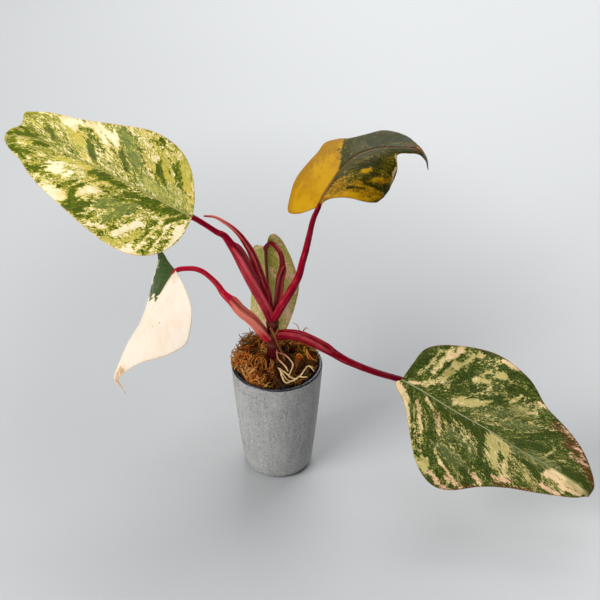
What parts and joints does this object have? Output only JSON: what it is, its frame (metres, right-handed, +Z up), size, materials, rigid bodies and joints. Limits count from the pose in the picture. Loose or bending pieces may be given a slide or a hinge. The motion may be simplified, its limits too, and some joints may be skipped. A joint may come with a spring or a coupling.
{
  "type": "potted strawberry shake philodendron",
  "caption": "Variegated philodendron with large pointed leaves on red stalks, rooted in moss in a small tapered stoneware pot, for a shelf or table.",
  "frame": {"origin": "centre of the pot's flat base, on the surface it stands on", "axes": "+Z up the pot; the plant is seen from -Y, with +X to its right, along which the two largest leaves spread"},
  "size_m": [0.4968, 0.2141, 0.3259],
  "materials": {
    "pot": "matte",
    "leaf_upper_left": "satin",
    "leaf_lower_left": "satin",
    "leaf_upper_right": "satin",
    "leaf_lower_right": "satin",
    "leaf_back": "satin",
    "new_leaf": "gloss",
    "petiole_upper_left": "satin",
    "petiole_lower_left": "satin",
    "petiole_upper_right": "satin",
    "petiole_lower_right": "satin",
    "petiole_back": "satin",
    "stem": "matte",
    "surface_roots": "matte",
    "dried_sheath": "matte",
    "moss": "matte"
  },
  "bodies": {
    "root": {"pot": "pot", "leaf_upper_left": "leaf_upper_left", "leaf_lower_left": "leaf_lower_left", "leaf_upper_right": "leaf_upper_right", "leaf_lower_right": "leaf_lower_right", "leaf_back": "leaf_back", "new_leaf": "new_leaf", "petiole_upper_left": "petiole_upper_left", "petiole_lower_left": "petiole_lower_left", "petiole_upper_right": "petiole_upper_right", "petiole_lower_right": "petiole_lower_right", "petiole_back": "petiole_back", "stem": "stem", "surface_roots": "surface_roots", "dried_sheath": "dried_sheath", "moss": "moss"}
  },
  "joints": []
}
